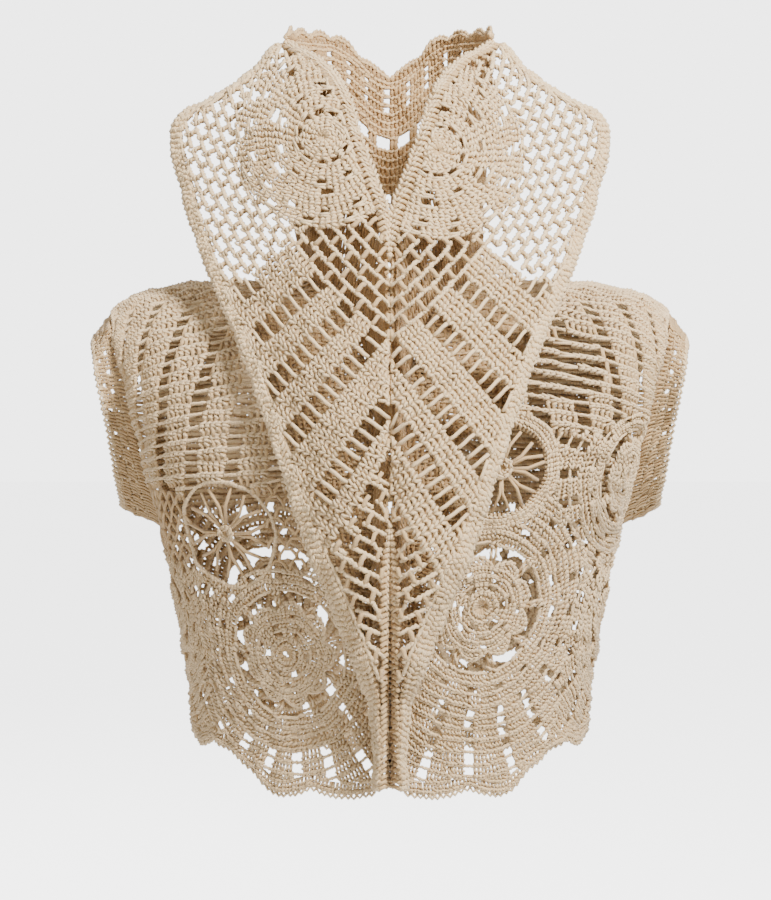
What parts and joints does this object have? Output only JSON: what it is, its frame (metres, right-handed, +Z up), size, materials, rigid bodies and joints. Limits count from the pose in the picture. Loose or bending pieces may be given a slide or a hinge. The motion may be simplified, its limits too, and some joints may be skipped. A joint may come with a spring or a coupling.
{
  "type": "crochet top",
  "caption": "Cropped crocheted cotton top with cap sleeves and a tall shawl collar whose wide lapels lie in front of the chest, in its worn hollow form.",
  "frame": {"origin": "the nape: inner face of the collar stand where it is sewn to the back yoke, at the centre", "axes": "+Z up, -Y the way the wearer faces, +X the wearer's left"},
  "size_m": [0.4616, 0.261, 0.5814],
  "materials": {
    "body_cotton": "matte",
    "collar_cotton": "matte",
    "edging_cotton": "matte"
  },
  "bodies": {
    "root": {"back_yoke": "body_cotton", "collar_stand": "collar_cotton", "hem_back": "edging_cotton", "front_left": "body_cotton", "medallion_front_left": "body_cotton", "medallion_side_left": "body_cotton", "medallion_back_left": "body_cotton", "hem_front_left": "edging_cotton", "cap_sleeve_left": "edging_cotton", "front_band_left": "collar_cotton", "lapel_left": "collar_cotton", "front_right": "body_cotton", "medallion_front_right": "body_cotton", "medallion_side_right": "body_cotton", "medallion_back_right": "body_cotton", "hem_front_right": "edging_cotton", "cap_sleeve_right": "edging_cotton", "front_band_right": "collar_cotton", "lapel_right": "collar_cotton"}
  },
  "joints": []
}
